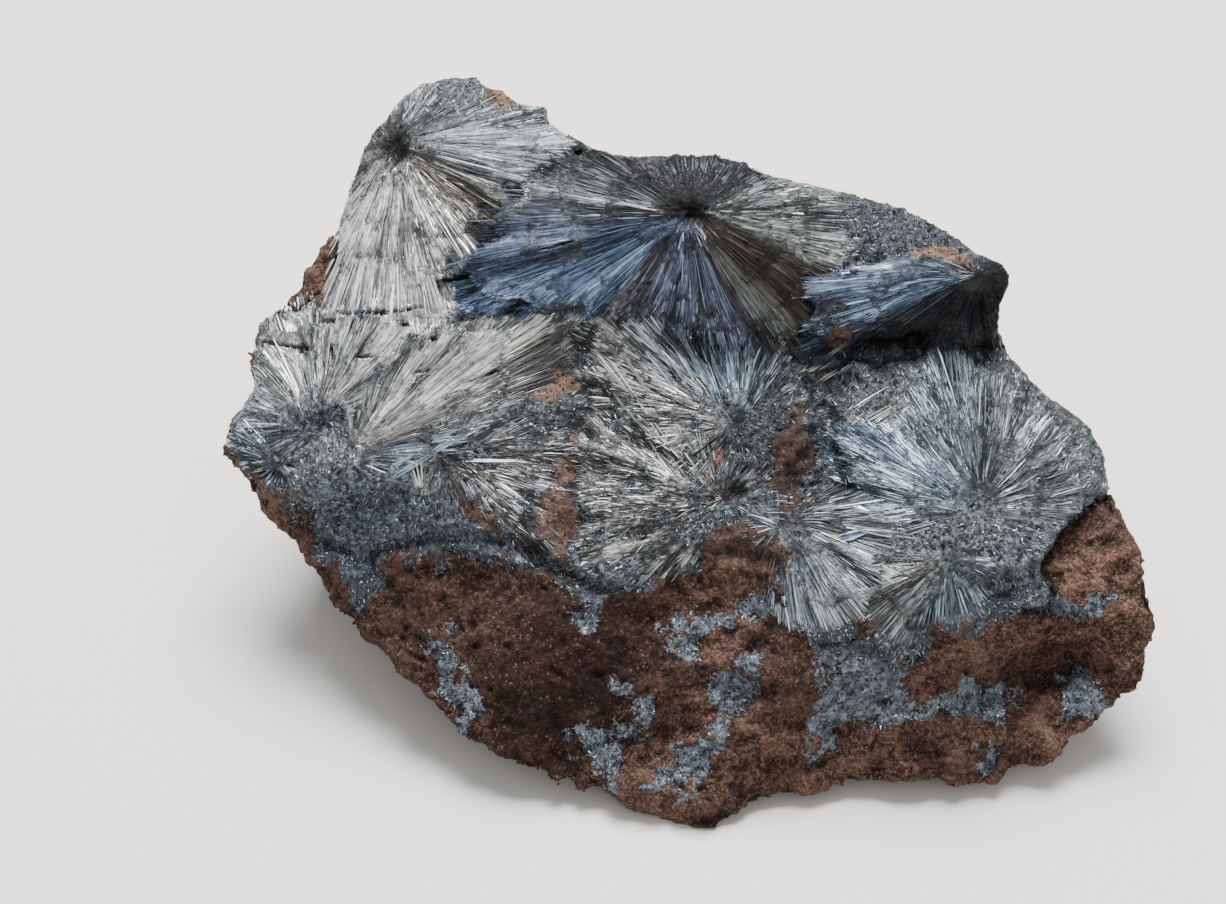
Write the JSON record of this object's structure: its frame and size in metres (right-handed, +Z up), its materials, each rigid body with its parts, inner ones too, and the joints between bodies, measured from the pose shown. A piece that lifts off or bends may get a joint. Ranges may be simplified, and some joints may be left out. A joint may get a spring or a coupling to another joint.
{
  "type": "pyrolusite specimen",
  "caption": "Hand-size pyrolusite specimen: silky grey sprays of bladed crystals fanning over a brown iron-stained rock, broken flat underneath so that it rests with its crystal face tilted up.",
  "frame": {"origin": "point on the flat base under the middle of the rock, on the surface that it rests on", "axes": "+Z up, +X to the right along the specimen's width, +Y away from the viewer; the crystal face looks towards -Y and up"},
  "size_m": [0.0911, 0.0666, 0.0456],
  "materials": {
    "iron_stained_rock": "rough earthy rock, dull brown with pinkish grains and blue-grey patches",
    "pyrolusite": "silky metallic grey to steel blue, bright along the crystal blades"
  },
  "bodies": {
    "root": {"matrix": "iron_stained_rock", "pyrolusite_sprays": "pyrolusite"}
  },
  "joints": []
}
